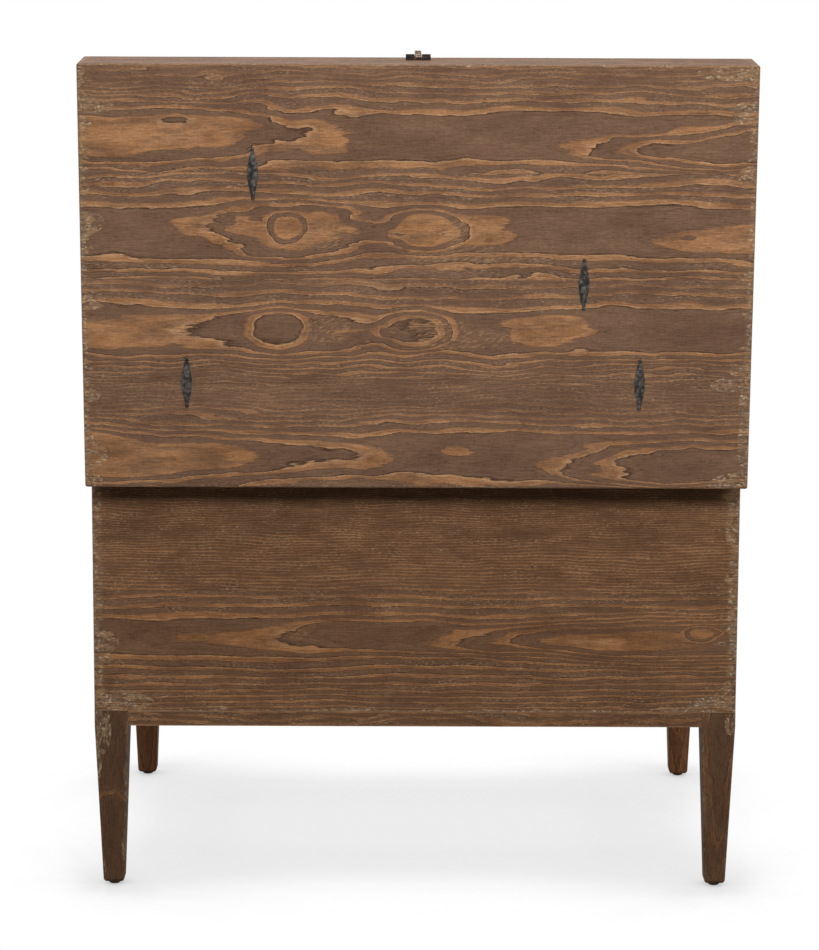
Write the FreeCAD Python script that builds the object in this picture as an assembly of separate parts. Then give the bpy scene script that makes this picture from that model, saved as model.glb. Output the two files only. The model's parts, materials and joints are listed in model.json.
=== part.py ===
import FreeCAD, Part
import math
import os

from FreeCAD import Vector

# Lift-lid chest table: a pine chest on a stand with four tapered legs, its deep lid open and leaning on
# its stop.
# Millimetres, +Z up, X across the width. The front, with the latch, faces -Y and the hinges are at +Y.
# The origin is on the floor, under the middle of the chest. The lid and its latch are written where they
# are when the lid is closed and fastened, and are then turned to the open lid together.

# Overall sizes
WIDTH = 762.0
DEPTH = 488.0
CHEST_HEIGHT = 293.0
LID_HEIGHT = 71.0
OPEN_ANGLE = 94.0

# Foot glides
GLIDE_HEIGHT = 4.5
GLIDE_RADIUS = 7.5
GLIDE_BEVEL = 1.5
GLIDE_NAIL_RADIUS = 1.25
GLIDE_NAIL_LENGTH = 18.0

# Legs
LEG_HEIGHT = 213.5
LEG_TOP = 40.0
LEG_FOOT = 24.8
LEG_ARRIS = 1.6
FOOT_CHAMFER_HEIGHT = 3.0
FOOT_CHAMFER_WIDTH = 1.8

# Rails between the legs, and the blocks behind the legs
RAIL_HEIGHT = 18.0
RAIL_INSET = 0.5
RAIL_BACKSET = 4.0
TENON_LENGTH = 10.0
TENON_WIDTH = 18.0
TENON_THICKNESS = 8.0
TENON_SETBACK = 3.0
BLOCK_LEG = 60.0

# Boards of the chest and the lid
WALL = 22.0
LID_TOP_THICKNESS = 20.0
LID_BOARD_COUNT = 4
CORNER_LAP = 14.0
CORNER_ARRIS = 2.5
CHEST_FOOT_ARRIS = 0.6
LID_TOP_ARRIS = 2.5
LID_GAP = 0.6
BOTTOM_THICKNESS = 12.0
BOTTOM_RISE = 8.0
GROOVE_LAND = 14.0
GROOVE_CLEARANCE = 0.2
PANEL_EDGE_CLEARANCE = 0.5

# Dowels
DOWEL_RADIUS = 4.0
DOWEL_INTO_LAP = 9.0
DOWEL_INTO_END = 24.0
DOWEL_CLEARANCE = 0.1
DOWEL_END_CLEARANCE = 0.5
CHEST_DOWEL_SHARES = (0.3, 0.75, 1.25, 1.7)
RIM_DOWEL_SHARES = (0.3, 0.7)

# Countersunk screws: shank radius, head radius and length in the second piece
SCREW_CLEARANCE = 0.05
HEAD_CLEARANCE = 0.1
SCREW_SLOT_WIDTH = 0.9
STAND_SCREW_RADIUS = 2.2
STAND_SCREW_HEAD = 4.4
STAND_SCREW_INTO_WALL = 24.0
STAND_SCREW_SPACING_FRONT = 400.0
STAND_SCREW_SPACING_SIDE = 220.0
BLOCK_SCREW_RADIUS = 2.0
BLOCK_SCREW_HEAD = 4.0
BLOCK_SCREW_INTO_LEG = 12.0

# Hinges: the pins lie inside the back face, in the plane between the chest and the closed lid
PIN_INSET = 5.0
PIN_RADIUS = 1.75
PIN_HEAD_RADIUS = 2.6
PIN_HEAD_LENGTH = 1.2
BARREL_RADIUS = 3.5
BARREL_CLEARANCE = 0.4
RUNNING_CLEARANCE = 0.06
KNUCKLE_COUNT = 5
KNUCKLE_GAP = 0.3
LEAF_LENGTH = 70.0
LEAF_WIDTH = 14.5
LEAF_THICKNESS = 2.0
MORTISE_CLEARANCE = 0.1
HINGE_SPACING = 255.0
HINGE_SCREW_COUNT = 3
HINGE_SCREW_PITCH = 24.0
HINGE_SCREW_FROM_PIN = 9.0
HINGE_SCREW_RADIUS = 1.6
HINGE_SCREW_HEAD = 3.2
HINGE_SCREW_LENGTH = 14.0

# Stop: the chest's and the lid's back edges are bevelled, and the bevels meet when the lid is fully open
STOP_GAP = 0.3
STOP_CUT_REACH = 20.0

# Latch: a bar between two lugs on the lid's front rim, a slotted strap hung on it, and a staple on the
# chest
BAR_RADIUS = 1.2
BAR_WIDTH = 28.2
BAR_ABOVE_JOINT = 24.0
BAR_PIN_LENGTH = 14.0
BAR_PIN_INSET = 3.0
LUG_RADIUS = 3.0
LUG_GAP = 0.5
STRAP_WIDTH = 7.6
STRAP_THICKNESS = 1.8
STRAP_BACK_CLEARANCE = 0.5
STRAP_INSIDE_BEND = 0.6
STRAP_BRIDGE = 1.5
STRAP_LIFT_HEIGHT = 5.4
STRAP_SLOT_START = 27.0
STAPLE_RADIUS = 1.3
STAPLE_PITCH = 8.3
STAPLE_REACH = 10.0
STAPLE_LEG_LENGTH = 14.0
STAPLE_CLEARANCE = 0.3
STAPLE_SIDE_CLEARANCE = 0.4

# Iron diamonds that bridge the joints of the lid's boards, each pinned into both boards by two square
# prongs. A place is: across from the middle, which joint counted from the back, how far in front of it.
DIAMOND_LENGTH = 58.0
DIAMOND_WIDTH = 12.0
DIAMOND_RIM = 1.0
DIAMOND_HEIGHT = 2.8
DIAMOND_KNOB = 2.0
PRONG_SIDE = 2.5
PRONG_LENGTH = 14.0
PRONG_SPACING = 36.0
PRONG_CLEARANCE = 0.05
DIAMOND_PLACES = [(262.5, 1, 2.6), (-254.0, 1, 1.2), (-188.6, 2, -4.7), (185.5, 3, -1.0)]

# Levels and planes that follow from the sizes above
CUT_OVERSHOOT = 1.0
LEVEL_TOLERANCE = 0.01
SIDE_X = WIDTH / 2
BACK_Y = DEPTH / 2
FRONT_Y = -DEPTH / 2
SEAM_Z = GLIDE_HEIGHT + LEG_HEIGHT
RAIL_Z = SEAM_Z - RAIL_HEIGHT
JOINT_Z = SEAM_Z + CHEST_HEIGHT
LID_LOW_Z = JOINT_Z + LID_GAP
LID_TOP_Z = JOINT_Z + LID_HEIGHT
LID_BOARD_Z = LID_TOP_Z - LID_TOP_THICKNESS
LEG_INNER_X = SIDE_X - LEG_TOP
LEG_INNER_Y = BACK_Y - LEG_TOP
WALL_MIDDLE_X = SIDE_X - WALL / 2
PIN_Y = BACK_Y - PIN_INSET
PIN_Z = JOINT_Z + LID_GAP / 2

X_AXIS = Vector(1, 0, 0)
Z_AXIS = Vector(0, 0, 1)
CORNERS = [("front_left", -1, -1), ("front_right", 1, -1), ("back_left", -1, 1), ("back_right", 1, 1)]

parts = {}


def box(x, y, z):
    """A block between two limits on each axis."""
    return Part.makeBox(x[1] - x[0], y[1] - y[0], z[1] - z[0], Vector(x[0], y[0], z[0]))


def rod(radius, start, end):
    """A round bar from one point to another."""
    line = end - start
    return Part.makeCylinder(radius, line.Length, start, line)


def cone(start_radius, end_radius, start, end):
    """A tapered round bar from one point to another."""
    line = end - start
    return Part.makeCone(start_radius, end_radius, line.Length, start, line)


def prism(points, length):
    """A prism from a flat outline, drawn out along a vector."""
    return Part.Face(Part.makePolygon(points + points[:1])).extrude(length)


def tidied(shape):
    """The shape without needless edges, as a plain solid where it is one."""
    clean = shape.removeSplitter()
    return clean.Solids[0] if len(clean.Solids) == 1 else clean


def joined(shapes):
    """One solid from shapes that overlap or share faces."""
    return tidied(shapes[0].multiFuse(shapes[1:]))


def without(shape, cutters):
    """The shape with every cutter taken away."""
    return tidied(shape.cut(cutters))


def opened(shape):
    """A lid piece turned from its closed place to the open lid."""
    turned = shape.copy()
    turned.rotate(Vector(0, PIN_Y, PIN_Z), X_AXIS, -OPEN_ANGLE)
    return turned


def screw(head, tip, shank_radius, head_radius):
    """A countersunk screw, from the middle of its head's face to its tip, with a slot across the head."""
    direction = (tip - head).normalize()
    head_depth = head_radius - shank_radius
    neck = head + direction * head_depth
    point_start = tip - direction * (2 * shank_radius)
    body = joined([cone(head_radius, shank_radius, head, neck), rod(shank_radius, neck, point_start),
                   cone(shank_radius, 0.0, point_start, tip)])
    slot_depth = head_depth / 2
    slot = box((-2 * head_radius, 2 * head_radius), (-SCREW_SLOT_WIDTH / 2, SCREW_SLOT_WIDTH / 2),
               (-slot_depth, slot_depth))
    slot.Placement = FreeCAD.Placement(head, FreeCAD.Rotation(Z_AXIS, direction))
    return without(body, [slot])


def screw_hole(head, tip, shank_radius, head_radius):
    """The hole for a screw of the same four values, a little larger all round."""
    direction = (tip - head).normalize()
    hole_radius = shank_radius + SCREW_CLEARANCE
    mouth_radius = head_radius + HEAD_CLEARANCE
    neck = head + direction * (mouth_radius - hole_radius)
    return joined([cone(mouth_radius, hole_radius, head, neck),
                   rod(hole_radius, neck, tip + direction * SCREW_CLEARANCE)])


def rounded_square(side, z):
    """A square outline with round corners about the Z axis, as a closed wire."""
    half = side / 2
    inner = half - LEG_ARRIS
    diagonal = inner + LEG_ARRIS * math.sqrt(0.5)
    edges = []
    for quarter in range(4):
        turn = FreeCAD.Rotation(Z_AXIS, 90 * quarter)
        side_start, side_end, corner, next_start = [
            turn.multVec(Vector(x, y, z))
            for x, y in ((half, -inner), (half, inner), (diagonal, diagonal), (inner, half))]
        edges.append(Part.makeLine(side_start, side_end))
        edges.append(Part.Arc(side_end, corner, next_start).toShape())
    return Part.Wire(edges)


# Foot glides: a turned disc with a bevelled tread, and the nail that holds it under the leg

def foot_glide():
    """One glide with its tread on the floor at the origin."""
    nail_tip = Vector(0, 0, GLIDE_HEIGHT + GLIDE_NAIL_LENGTH)
    nail_taper = nail_tip - Vector(0, 0, 3 * GLIDE_NAIL_RADIUS)
    return joined([
        cone(GLIDE_RADIUS - GLIDE_BEVEL, GLIDE_RADIUS, Vector(0, 0, 0), Vector(0, 0, GLIDE_BEVEL)),
        rod(GLIDE_RADIUS, Vector(0, 0, GLIDE_BEVEL), Vector(0, 0, GLIDE_HEIGHT)),
        rod(GLIDE_NAIL_RADIUS, Vector(0, 0, GLIDE_HEIGHT), nail_taper),
        cone(GLIDE_NAIL_RADIUS, 0.0, nail_taper, nail_tip)])


# Legs: straight beside the rails, tapered on all four faces below them

def leg_blank():
    """One leg over the origin, with the hole for its glide's nail."""
    sections = [(SEAM_Z, LEG_TOP), (RAIL_Z, LEG_TOP), (GLIDE_HEIGHT + FOOT_CHAMFER_HEIGHT, LEG_FOOT),
                (GLIDE_HEIGHT, LEG_FOOT - 2 * FOOT_CHAMFER_WIDTH)]
    wires = [rounded_square(side, z) for z, side in sections]
    lengths = [Part.makeLoft([upper, lower], True, True) for upper, lower in zip(wires, wires[1:])]
    nail_hole = rod(GLIDE_NAIL_RADIUS + SCREW_CLEARANCE, Vector(0, 0, GLIDE_HEIGHT),
                    Vector(0, 0, GLIDE_HEIGHT + GLIDE_NAIL_LENGTH + SCREW_CLEARANCE))
    return without(joined(lengths), [nail_hole])


# Rails: flat, almost flush with the chest, with a tenon on each end

def rail(half_span, outer_face, angle):
    """One rail beside the +X face, turned about Z to its own side."""
    near = outer_face - RAIL_INSET
    far = outer_face - LEG_TOP + RAIL_BACKSET
    middle_z = (RAIL_Z + SEAM_Z) / 2
    body = box((far, near), (-half_span, half_span), (RAIL_Z, SEAM_Z))
    tenon_reach = half_span + TENON_LENGTH
    tenons = box((near - TENON_SETBACK - TENON_WIDTH, near - TENON_SETBACK), (-tenon_reach, tenon_reach),
                 (middle_z - TENON_THICKNESS / 2, middle_z + TENON_THICKNESS / 2))
    shape = joined([body, tenons])
    shape.rotate(Vector(0, 0, 0), Z_AXIS, angle)
    return shape


def corner_block(sign_x, sign_y):
    """The block in one corner between the rails, fitted round the leg, and its screw's two points."""
    x = SIDE_X - LEG_TOP + RAIL_BACKSET
    y = BACK_Y - LEG_TOP + RAIL_BACKSET
    outline = [Vector(sign_x * px, sign_y * py, RAIL_Z)
               for px, py in ((x, y), (x - BLOCK_LEG, y), (x, y - BLOCK_LEG))]
    leg_post = box(sorted((sign_x * LEG_INNER_X, sign_x * SIDE_X)),
                   sorted((sign_y * LEG_INNER_Y, sign_y * BACK_Y)), (RAIL_Z, SEAM_Z))
    middle_z = (RAIL_Z + SEAM_Z) / 2
    head = Vector(sign_x * (x - BLOCK_LEG / 2), sign_y * (y - BLOCK_LEG / 2), middle_z)
    tip = (Vector(sign_x * LEG_INNER_X, sign_y * LEG_INNER_Y, middle_z)
           + Vector(sign_x, sign_y, 0).normalize() * BLOCK_SCREW_INTO_LEG)
    return without(prism(outline, Vector(0, 0, RAIL_HEIGHT)), [leg_post]), head, tip


def stand_screw_points():
    """Head and tip of each screw that goes up through a rail, between its face and the panel's groove."""
    from_face = (RAIL_INSET + GROOVE_LAND) / 2
    places = []
    for side in (-1, 1):
        for step in (-0.5, 0.5):
            places.append((step * STAND_SCREW_SPACING_FRONT, side * (BACK_Y - from_face)))
            places.append((side * (SIDE_X - from_face), step * STAND_SCREW_SPACING_SIDE))
    return [(Vector(x, y, RAIL_Z), Vector(x, y, SEAM_Z + STAND_SCREW_INTO_WALL)) for x, y in places]


# Stand: legs on their glides, rails tenoned into them, a block screwed into each corner

stand_points = stand_screw_points()
stand_holes = [screw_hole(head, tip, STAND_SCREW_RADIUS, STAND_SCREW_HEAD) for head, tip in stand_points]
rails = {
    "rail_front": rail(LEG_INNER_X, BACK_Y, -90),
    "rail_back": rail(LEG_INNER_X, BACK_Y, 90),
    "rail_left": rail(LEG_INNER_Y, SIDE_X, 180),
    "rail_right": rail(LEG_INNER_Y, SIDE_X, 0),
}
for name, shape in rails.items():
    parts[name] = without(shape, stand_holes)

block_screws = []
for name, sign_x, sign_y in CORNERS:
    centre = Vector(sign_x * (SIDE_X - LEG_TOP / 2), sign_y * (BACK_Y - LEG_TOP / 2), 0)
    block, head, tip = corner_block(sign_x, sign_y)
    block_hole = screw_hole(head, tip, BLOCK_SCREW_RADIUS, BLOCK_SCREW_HEAD)
    block_screws.append(screw(head, tip, BLOCK_SCREW_RADIUS, BLOCK_SCREW_HEAD))
    parts["corner_block_" + name] = without(block, [block_hole])
    parts["foot_glide_" + name] = foot_glide().translated(centre)
    parts["leg_" + name] = without(leg_blank().translated(centre), list(rails.values()) + [block_hole])
parts["corner_block_screws"] = Part.makeCompound(block_screws)
parts["stand_screws"] = Part.makeCompound(
    [screw(head, tip, STAND_SCREW_RADIUS, STAND_SCREW_HEAD) for head, tip in stand_points])


# Boxes of four walls: the chest and the lid's rims share one lapped and dowelled corner joint

def rounded_block(z, rounded_z, arris):
    """The outer block of the chest or the lid, its corners rounded and the edges at one level too."""
    block = box((-SIDE_X, SIDE_X), (FRONT_Y, BACK_Y), z)
    corner_edges = [edge for edge in block.Edges if edge.BoundBox.ZLength > arris]
    block = block.makeFillet(CORNER_ARRIS, corner_edges)
    level_edges = [edge for edge in block.Edges
                   if abs(edge.BoundBox.ZMin - rounded_z) < LEVEL_TOLERANCE
                   and abs(edge.BoundBox.ZMax - rounded_z) < LEVEL_TOLERANCE]
    return block.makeFillet(arris, level_edges)


def wall_blanks(z):
    """The four walls between two levels: the side walls' ends sit in laps of the front and back walls."""
    lap_y = BACK_Y - CORNER_LAP
    inner_x = SIDE_X - WALL
    inner_y = BACK_Y - WALL
    left = box((-SIDE_X, -inner_x), (-lap_y, lap_y), z)
    right = box((inner_x, SIDE_X), (-lap_y, lap_y), z)
    return {
        "front": without(box((-SIDE_X, SIDE_X), (FRONT_Y, -inner_y), z), [left, right]),
        "back": without(box((-SIDE_X, SIDE_X), (inner_y, BACK_Y), z), [left, right]),
        "left": left,
        "right": right,
    }


def corner_dowels(levels):
    """Dowels from each lap into the end of the side wall, and their holes, at the given heights."""
    pins, holes = [], []
    for _, sign_x, sign_y in CORNERS:
        for z in levels:
            outer = Vector(sign_x * WALL_MIDDLE_X, sign_y * (BACK_Y - CORNER_LAP + DOWEL_INTO_LAP), z)
            inner = Vector(sign_x * WALL_MIDDLE_X, sign_y * (BACK_Y - CORNER_LAP - DOWEL_INTO_END), z)
            spare = Vector(0, sign_y * DOWEL_END_CLEARANCE, 0)
            pins.append(rod(DOWEL_RADIUS, outer, inner))
            holes.append(rod(DOWEL_RADIUS + DOWEL_CLEARANCE, outer + spare, inner - spare))
    return pins, holes


def stop_bevel(side):
    """The wood cut off a back edge, of the chest with side -1 and of the closed lid with side 1."""
    half_angle = math.radians(OPEN_ANGLE / 2)
    offset = STOP_GAP / 2
    start_y = PIN_Y - offset * math.sin(half_angle)
    start_z = PIN_Z + side * offset * math.cos(half_angle)
    end_y = start_y + STOP_CUT_REACH * math.cos(half_angle)
    end_z = start_z + side * STOP_CUT_REACH * math.sin(half_angle)
    far_z = PIN_Z - side * STOP_CUT_REACH
    outline = [Vector(-WIDTH, y, z)
               for y, z in ((start_y, start_z), (end_y, end_z), (end_y, far_z), (start_y, far_z))]
    return prism(outline, Vector(2 * WIDTH, 0, 0))


# Butt hinges: two leaves let in flush, knuckles round a headed pin, three screws in each leaf

def on_pin(radius, x):
    """A cylinder on the hinge axis between two X limits."""
    return rod(radius, Vector(x[0], PIN_Y, PIN_Z), Vector(x[1], PIN_Y, PIN_Z))


def knuckle_spans(x, first):
    """The X limits of every second knuckle of the hinge at x, from the given one on."""
    pitch = LEAF_LENGTH / KNUCKLE_COUNT
    start = x - LEAF_LENGTH / 2
    return [(start + i * pitch + KNUCKLE_GAP / 2, start + (i + 1) * pitch - KNUCKLE_GAP / 2)
            for i in range(first, KNUCKLE_COUNT, 2)]


def hinge_screw_points(x, face_z, inward):
    """Head and tip of the screws of the leaf whose open face is at face_z."""
    y = PIN_Y - HINGE_SCREW_FROM_PIN
    places = [x + (i - (HINGE_SCREW_COUNT - 1) / 2) * HINGE_SCREW_PITCH for i in range(HINGE_SCREW_COUNT)]
    return [(Vector(px, y, face_z), Vector(px, y, face_z + inward * HINGE_SCREW_LENGTH)) for px in places]


def hinge_leaf(x, face_z, inward, first_knuckle, holes):
    """One leaf with its own knuckles, cut away round the other leaf's."""
    span = (x - LEAF_LENGTH / 2, x + LEAF_LENGTH / 2)
    plate = box(span, (PIN_Y - LEAF_WIDTH, PIN_Y), sorted((face_z, face_z + inward * LEAF_THICKNESS)))
    room = [on_pin(BARREL_RADIUS + BARREL_CLEARANCE, (low - KNUCKLE_GAP, high + KNUCKLE_GAP))
            for low, high in knuckle_spans(x, 1 - first_knuckle)]
    knuckles = [on_pin(BARREL_RADIUS, limits) for limits in knuckle_spans(x, first_knuckle)]
    bore = on_pin(PIN_RADIUS + RUNNING_CLEARANCE, span)
    return without(joined([without(plate, room)] + knuckles), holes + [bore])


def hinge_pin(x):
    """The pin of the hinge at x, with a low round head at each end."""
    low, high = x - LEAF_LENGTH / 2, x + LEAF_LENGTH / 2
    return joined([on_pin(PIN_RADIUS, (low, high)), on_pin(PIN_HEAD_RADIUS, (low - PIN_HEAD_LENGTH, low)),
                   on_pin(PIN_HEAD_RADIUS, (high, high + PIN_HEAD_LENGTH))])


def hinge_bed(x, face_z, inward):
    """The room in the wood for a leaf, and for the barrel and the pin's heads."""
    reach = LEAF_LENGTH / 2 + MORTISE_CLEARANCE
    barrel_reach = reach + PIN_HEAD_LENGTH
    mortise = box((x - reach, x + reach), (PIN_Y - LEAF_WIDTH - MORTISE_CLEARANCE, BACK_Y),
                  sorted((face_z, face_z + inward * LEAF_THICKNESS)))
    return [mortise, on_pin(BARREL_RADIUS + BARREL_CLEARANCE, (x - barrel_reach, x + barrel_reach))]


chest_hinge_cuts, lid_hinge_cuts = [], []
chest_hinge_screws, lid_hinge_screws = [], []
for name, x in (("left", -HINGE_SPACING), ("middle", 0.0), ("right", HINGE_SPACING)):
    leaves = (("chest", JOINT_Z, -1, 0, chest_hinge_cuts, chest_hinge_screws),
              ("lid", LID_LOW_Z, 1, 1, lid_hinge_cuts, lid_hinge_screws))
    for owner, face_z, inward, first_knuckle, cuts, screws in leaves:
        points = hinge_screw_points(x, face_z, inward)
        holes = [screw_hole(head, tip, HINGE_SCREW_RADIUS, HINGE_SCREW_HEAD) for head, tip in points]
        parts["hinge_%s_%s_leaf" % (name, owner)] = hinge_leaf(x, face_z, inward, first_knuckle, holes)
        cuts += hinge_bed(x, face_z, inward) + holes
        screws += [screw(head, tip, HINGE_SCREW_RADIUS, HINGE_SCREW_HEAD) for head, tip in points]
    parts["hinge_%s_pin" % name] = hinge_pin(x)
parts["hinge_chest_screws"] = Part.makeCompound(chest_hinge_screws)
parts["hinge_lid_screws"] = Part.makeCompound(lid_hinge_screws)


# Latch: places along the hanging strap are measured down from the bar

bar_hole_radius = BAR_RADIUS + RUNNING_CLEARANCE
eye_radius = bar_hole_radius + STRAP_THICKNESS
bar_standoff = eye_radius + STRAP_BACK_CLEARANCE
bar_y = FRONT_Y - bar_standoff
bar_z = JOINT_Z + BAR_ABOVE_JOINT
staple_half_height = STAPLE_PITCH / 2 + STAPLE_RADIUS
staple_along = math.hypot(STRAP_SLOT_START, eye_radius) + STAPLE_CLEARANCE + staple_half_height
staple_z = bar_z - staple_along
slot_end = staple_along + staple_half_height + STAPLE_CLEARANCE
strap_bend = STRAP_INSIDE_BEND + STRAP_THICKNESS
strap_length = slot_end + STRAP_BRIDGE + strap_bend


def latch_bar():
    """The bar, the lug at each of its ends, and the pins under the lugs that are driven into the rim."""
    end_x = BAR_WIDTH / 2
    pin_x = end_x - BAR_PIN_INSET
    lug_x = STRAP_WIDTH / 2 + LUG_GAP
    lug_z = (bar_z - LUG_RADIUS, bar_z + LUG_RADIUS)
    pieces = [rod(BAR_RADIUS, Vector(-end_x, bar_y, bar_z), Vector(end_x, bar_y, bar_z))]
    for side in (-1, 1):
        inner, outer, pin = side * lug_x, side * end_x, side * pin_x
        pieces += [rod(LUG_RADIUS, Vector(inner, bar_y, bar_z), Vector(outer, bar_y, bar_z)),
                   box(sorted((inner, outer)), (bar_y, FRONT_Y), lug_z),
                   rod(BAR_RADIUS, Vector(pin, bar_y, bar_z), Vector(pin, FRONT_Y + BAR_PIN_LENGTH, bar_z))]
    return joined(pieces)


def latch_bar_holes():
    """The two holes in the rim for the bar's pins."""
    pin_x = BAR_WIDTH / 2 - BAR_PIN_INSET
    start_y, end_y = FRONT_Y - CUT_OVERSHOOT, FRONT_Y + BAR_PIN_LENGTH + SCREW_CLEARANCE
    return [rod(BAR_RADIUS + SCREW_CLEARANCE, Vector(x, start_y, bar_z), Vector(x, end_y, bar_z))
            for x in (-pin_x, pin_x)]


def latch_strap():
    """The hanging strap: an eye on the bar, a slotted flat, and an end bent outward as a thumb lift."""
    tip_radius = STRAP_THICKNESS / 2
    tip_along = strap_length - tip_radius
    tip_out = STRAP_LIFT_HEIGHT - eye_radius - tip_radius
    bend_along = strap_length - strap_bend
    bend_out = strap_bend - eye_radius
    inner_along = strap_length - STRAP_THICKNESS
    half_root = math.sqrt(0.5)
    inside_mid = STRAP_INSIDE_BEND * half_root
    outside_mid = strap_bend * half_root

    def point(along, out):
        return Vector(-STRAP_WIDTH / 2, bar_y - out, bar_z - along)

    outline = [
        Part.makeLine(point(0, -eye_radius), point(bend_along, -eye_radius)),
        Part.Arc(point(bend_along, -eye_radius),
                 point(bend_along + outside_mid, bend_out - outside_mid),
                 point(strap_length, bend_out)).toShape(),
        Part.makeLine(point(strap_length, bend_out), point(strap_length, tip_out)),
        Part.Arc(point(strap_length, tip_out), point(tip_along, tip_out + tip_radius),
                 point(inner_along, tip_out)).toShape(),
        Part.makeLine(point(inner_along, tip_out), point(inner_along, bend_out)),
        Part.Arc(point(inner_along, bend_out),
                 point(bend_along + inside_mid, bend_out - inside_mid),
                 point(bend_along, -bar_hole_radius)).toShape(),
        Part.makeLine(point(bend_along, -bar_hole_radius), point(0, -bar_hole_radius)),
        Part.makeLine(point(0, -bar_hole_radius), point(0, -eye_radius)),
    ]
    flat = Part.Face(Part.Wire(outline)).extrude(Vector(STRAP_WIDTH, 0, 0))
    left_end = Vector(-STRAP_WIDTH / 2, bar_y, bar_z)
    right_end = Vector(STRAP_WIDTH / 2, bar_y, bar_z)
    slot_half_width = STAPLE_RADIUS + STAPLE_SIDE_CLEARANCE
    slot_ends = [bar_z - slot_end + slot_half_width, bar_z - STRAP_SLOT_START - slot_half_width]
    through = (bar_y, FRONT_Y)
    slot = [rod(slot_half_width, Vector(0, through[0], z), Vector(0, through[1], z)) for z in slot_ends]
    slot.append(box((-slot_half_width, slot_half_width), through, slot_ends))
    solid = joined([flat, rod(eye_radius, left_end, right_end)])
    return without(solid, slot + [rod(bar_hole_radius, left_end, right_end)])


def staple(radius, start_y):
    """The staple's bent rod, or with a larger radius its holes, from where its legs start in the wall."""
    bow = STAPLE_PITCH / 2
    bow_y = FRONT_Y - STAPLE_REACH + STAPLE_RADIUS + bow
    half_ring = Part.makeTorus(bow, radius, Vector(0, 0, 0), Z_AXIS, -180, 180, 180)
    upright = FreeCAD.Rotation(Z_AXIS, Vector(0, -1, 0), X_AXIS, "ZXY")
    half_ring.Placement = FreeCAD.Placement(Vector(0, bow_y, staple_z), upright)
    legs = [rod(radius, Vector(0, start_y, z), Vector(0, bow_y, z))
            for z in (staple_z - bow, staple_z + bow)]
    return joined([half_ring] + legs)


parts["latch_bar"] = latch_bar()
parts["latch_strap"] = latch_strap()
parts["latch_staple"] = staple(STAPLE_RADIUS, FRONT_Y + STAPLE_LEG_LENGTH)
staple_holes = staple(STAPLE_RADIUS + SCREW_CLEARANCE, FRONT_Y + STAPLE_LEG_LENGTH + SCREW_CLEARANCE)


# Iron diamonds: a flat rim under a hipped top, a round knob at each point, and two prongs underneath

def diamond_centres():
    """The middle of each diamond on the closed lid's outer face."""
    board_width = DEPTH / LID_BOARD_COUNT
    return [Vector(x, BACK_Y - joint * board_width - forward, LID_TOP_Z)
            for x, joint, forward in DIAMOND_PLACES]


def prong(centre, side, width, length):
    """One square prong under a diamond, or the hole for it."""
    half = width / 2
    y = centre.y + side * PRONG_SPACING / 2
    return box((centre.x - half, centre.x + half), (y - half, y + half), (centre.z - length, centre.z))


def diamond(centre):
    """One diamond on the lid, its long axis front to back."""
    half_width = DIAMOND_WIDTH / 2
    half_length = DIAMOND_LENGTH / 2 - DIAMOND_KNOB
    lift = Vector(0, 0, DIAMOND_RIM)
    foot = [centre + Vector(x, y, 0)
            for x, y in ((half_width, 0), (0, half_length), (-half_width, 0), (0, -half_length))]
    top = centre + Vector(0, 0, DIAMOND_HEIGHT)
    shoulder = [point + lift for point in foot]
    faces = [Part.Face(Part.makePolygon(shoulder + shoulder[:1]))]
    for start, end in zip(shoulder, shoulder[1:] + shoulder[:1]):
        faces.append(Part.Face(Part.makePolygon([start, end, top, start])))
    hip = Part.Solid(Part.Shell(faces))
    if hip.Volume < 0:
        hip.reverse()
    knobs = [Part.makeSphere(DIAMOND_KNOB, centre + Vector(0, side * half_length, 0), Z_AXIS, 0, 90, 360)
             for side in (-1, 1)]
    prongs = [prong(centre, side, PRONG_SIDE, PRONG_LENGTH) for side in (-1, 1)]
    return joined([prism(foot, lift), hip] + knobs + prongs)


prong_holes = []
for number, centre in enumerate(diamond_centres(), start=1):
    parts["iron_diamond_%d" % number] = diamond(centre)
    prong_holes += [prong(centre, side, PRONG_SIDE + 2 * PRONG_CLEARANCE, PRONG_LENGTH + PRONG_CLEARANCE)
                    for side in (-1, 1)]


# Chest: four walls of two boards each, and a bottom panel loose in its groove

board_height = CHEST_HEIGHT / 2
chest_z = (SEAM_Z, JOINT_Z)
dowel_levels = [SEAM_Z + share * board_height for share in CHEST_DOWEL_SHARES]
chest_pins, chest_dowel_holes = corner_dowels(dowel_levels)
parts["chest_dowels"] = Part.makeCompound(chest_pins)

groove_x = SIDE_X - GROOVE_LAND
groove_y = BACK_Y - GROOVE_LAND
panel_z = (SEAM_Z + BOTTOM_RISE, SEAM_Z + BOTTOM_RISE + BOTTOM_THICKNESS)
groove = box((-groove_x, groove_x), (-groove_y, groove_y), (panel_z[0], panel_z[1] + GROOVE_CLEARANCE))
panel_x = groove_x - PANEL_EDGE_CLEARANCE
panel_y = groove_y - PANEL_EDGE_CLEARANCE
parts["bottom_panel"] = box((-panel_x, panel_x), (-panel_y, panel_y), panel_z)

chest_block = rounded_block(chest_z, SEAM_Z, CHEST_FOOT_ARRIS)
chest_cuts = chest_dowel_holes + chest_hinge_cuts + stand_holes + [groove, staple_holes, stop_bevel(-1)]
for side, blank in wall_blanks(chest_z).items():
    wall = without(chest_block.common(blank), chest_cuts)
    for level, low in (("lower", SEAM_Z), ("upper", SEAM_Z + board_height)):
        board = box((-WIDTH, WIDTH), (-DEPTH, DEPTH), (low, low + board_height))
        parts["%s_board_%s" % (side, level)] = tidied(wall.common(board))


# Lid: four rims lapped and dowelled like the chest, and four boards glued edge to edge on them

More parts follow.
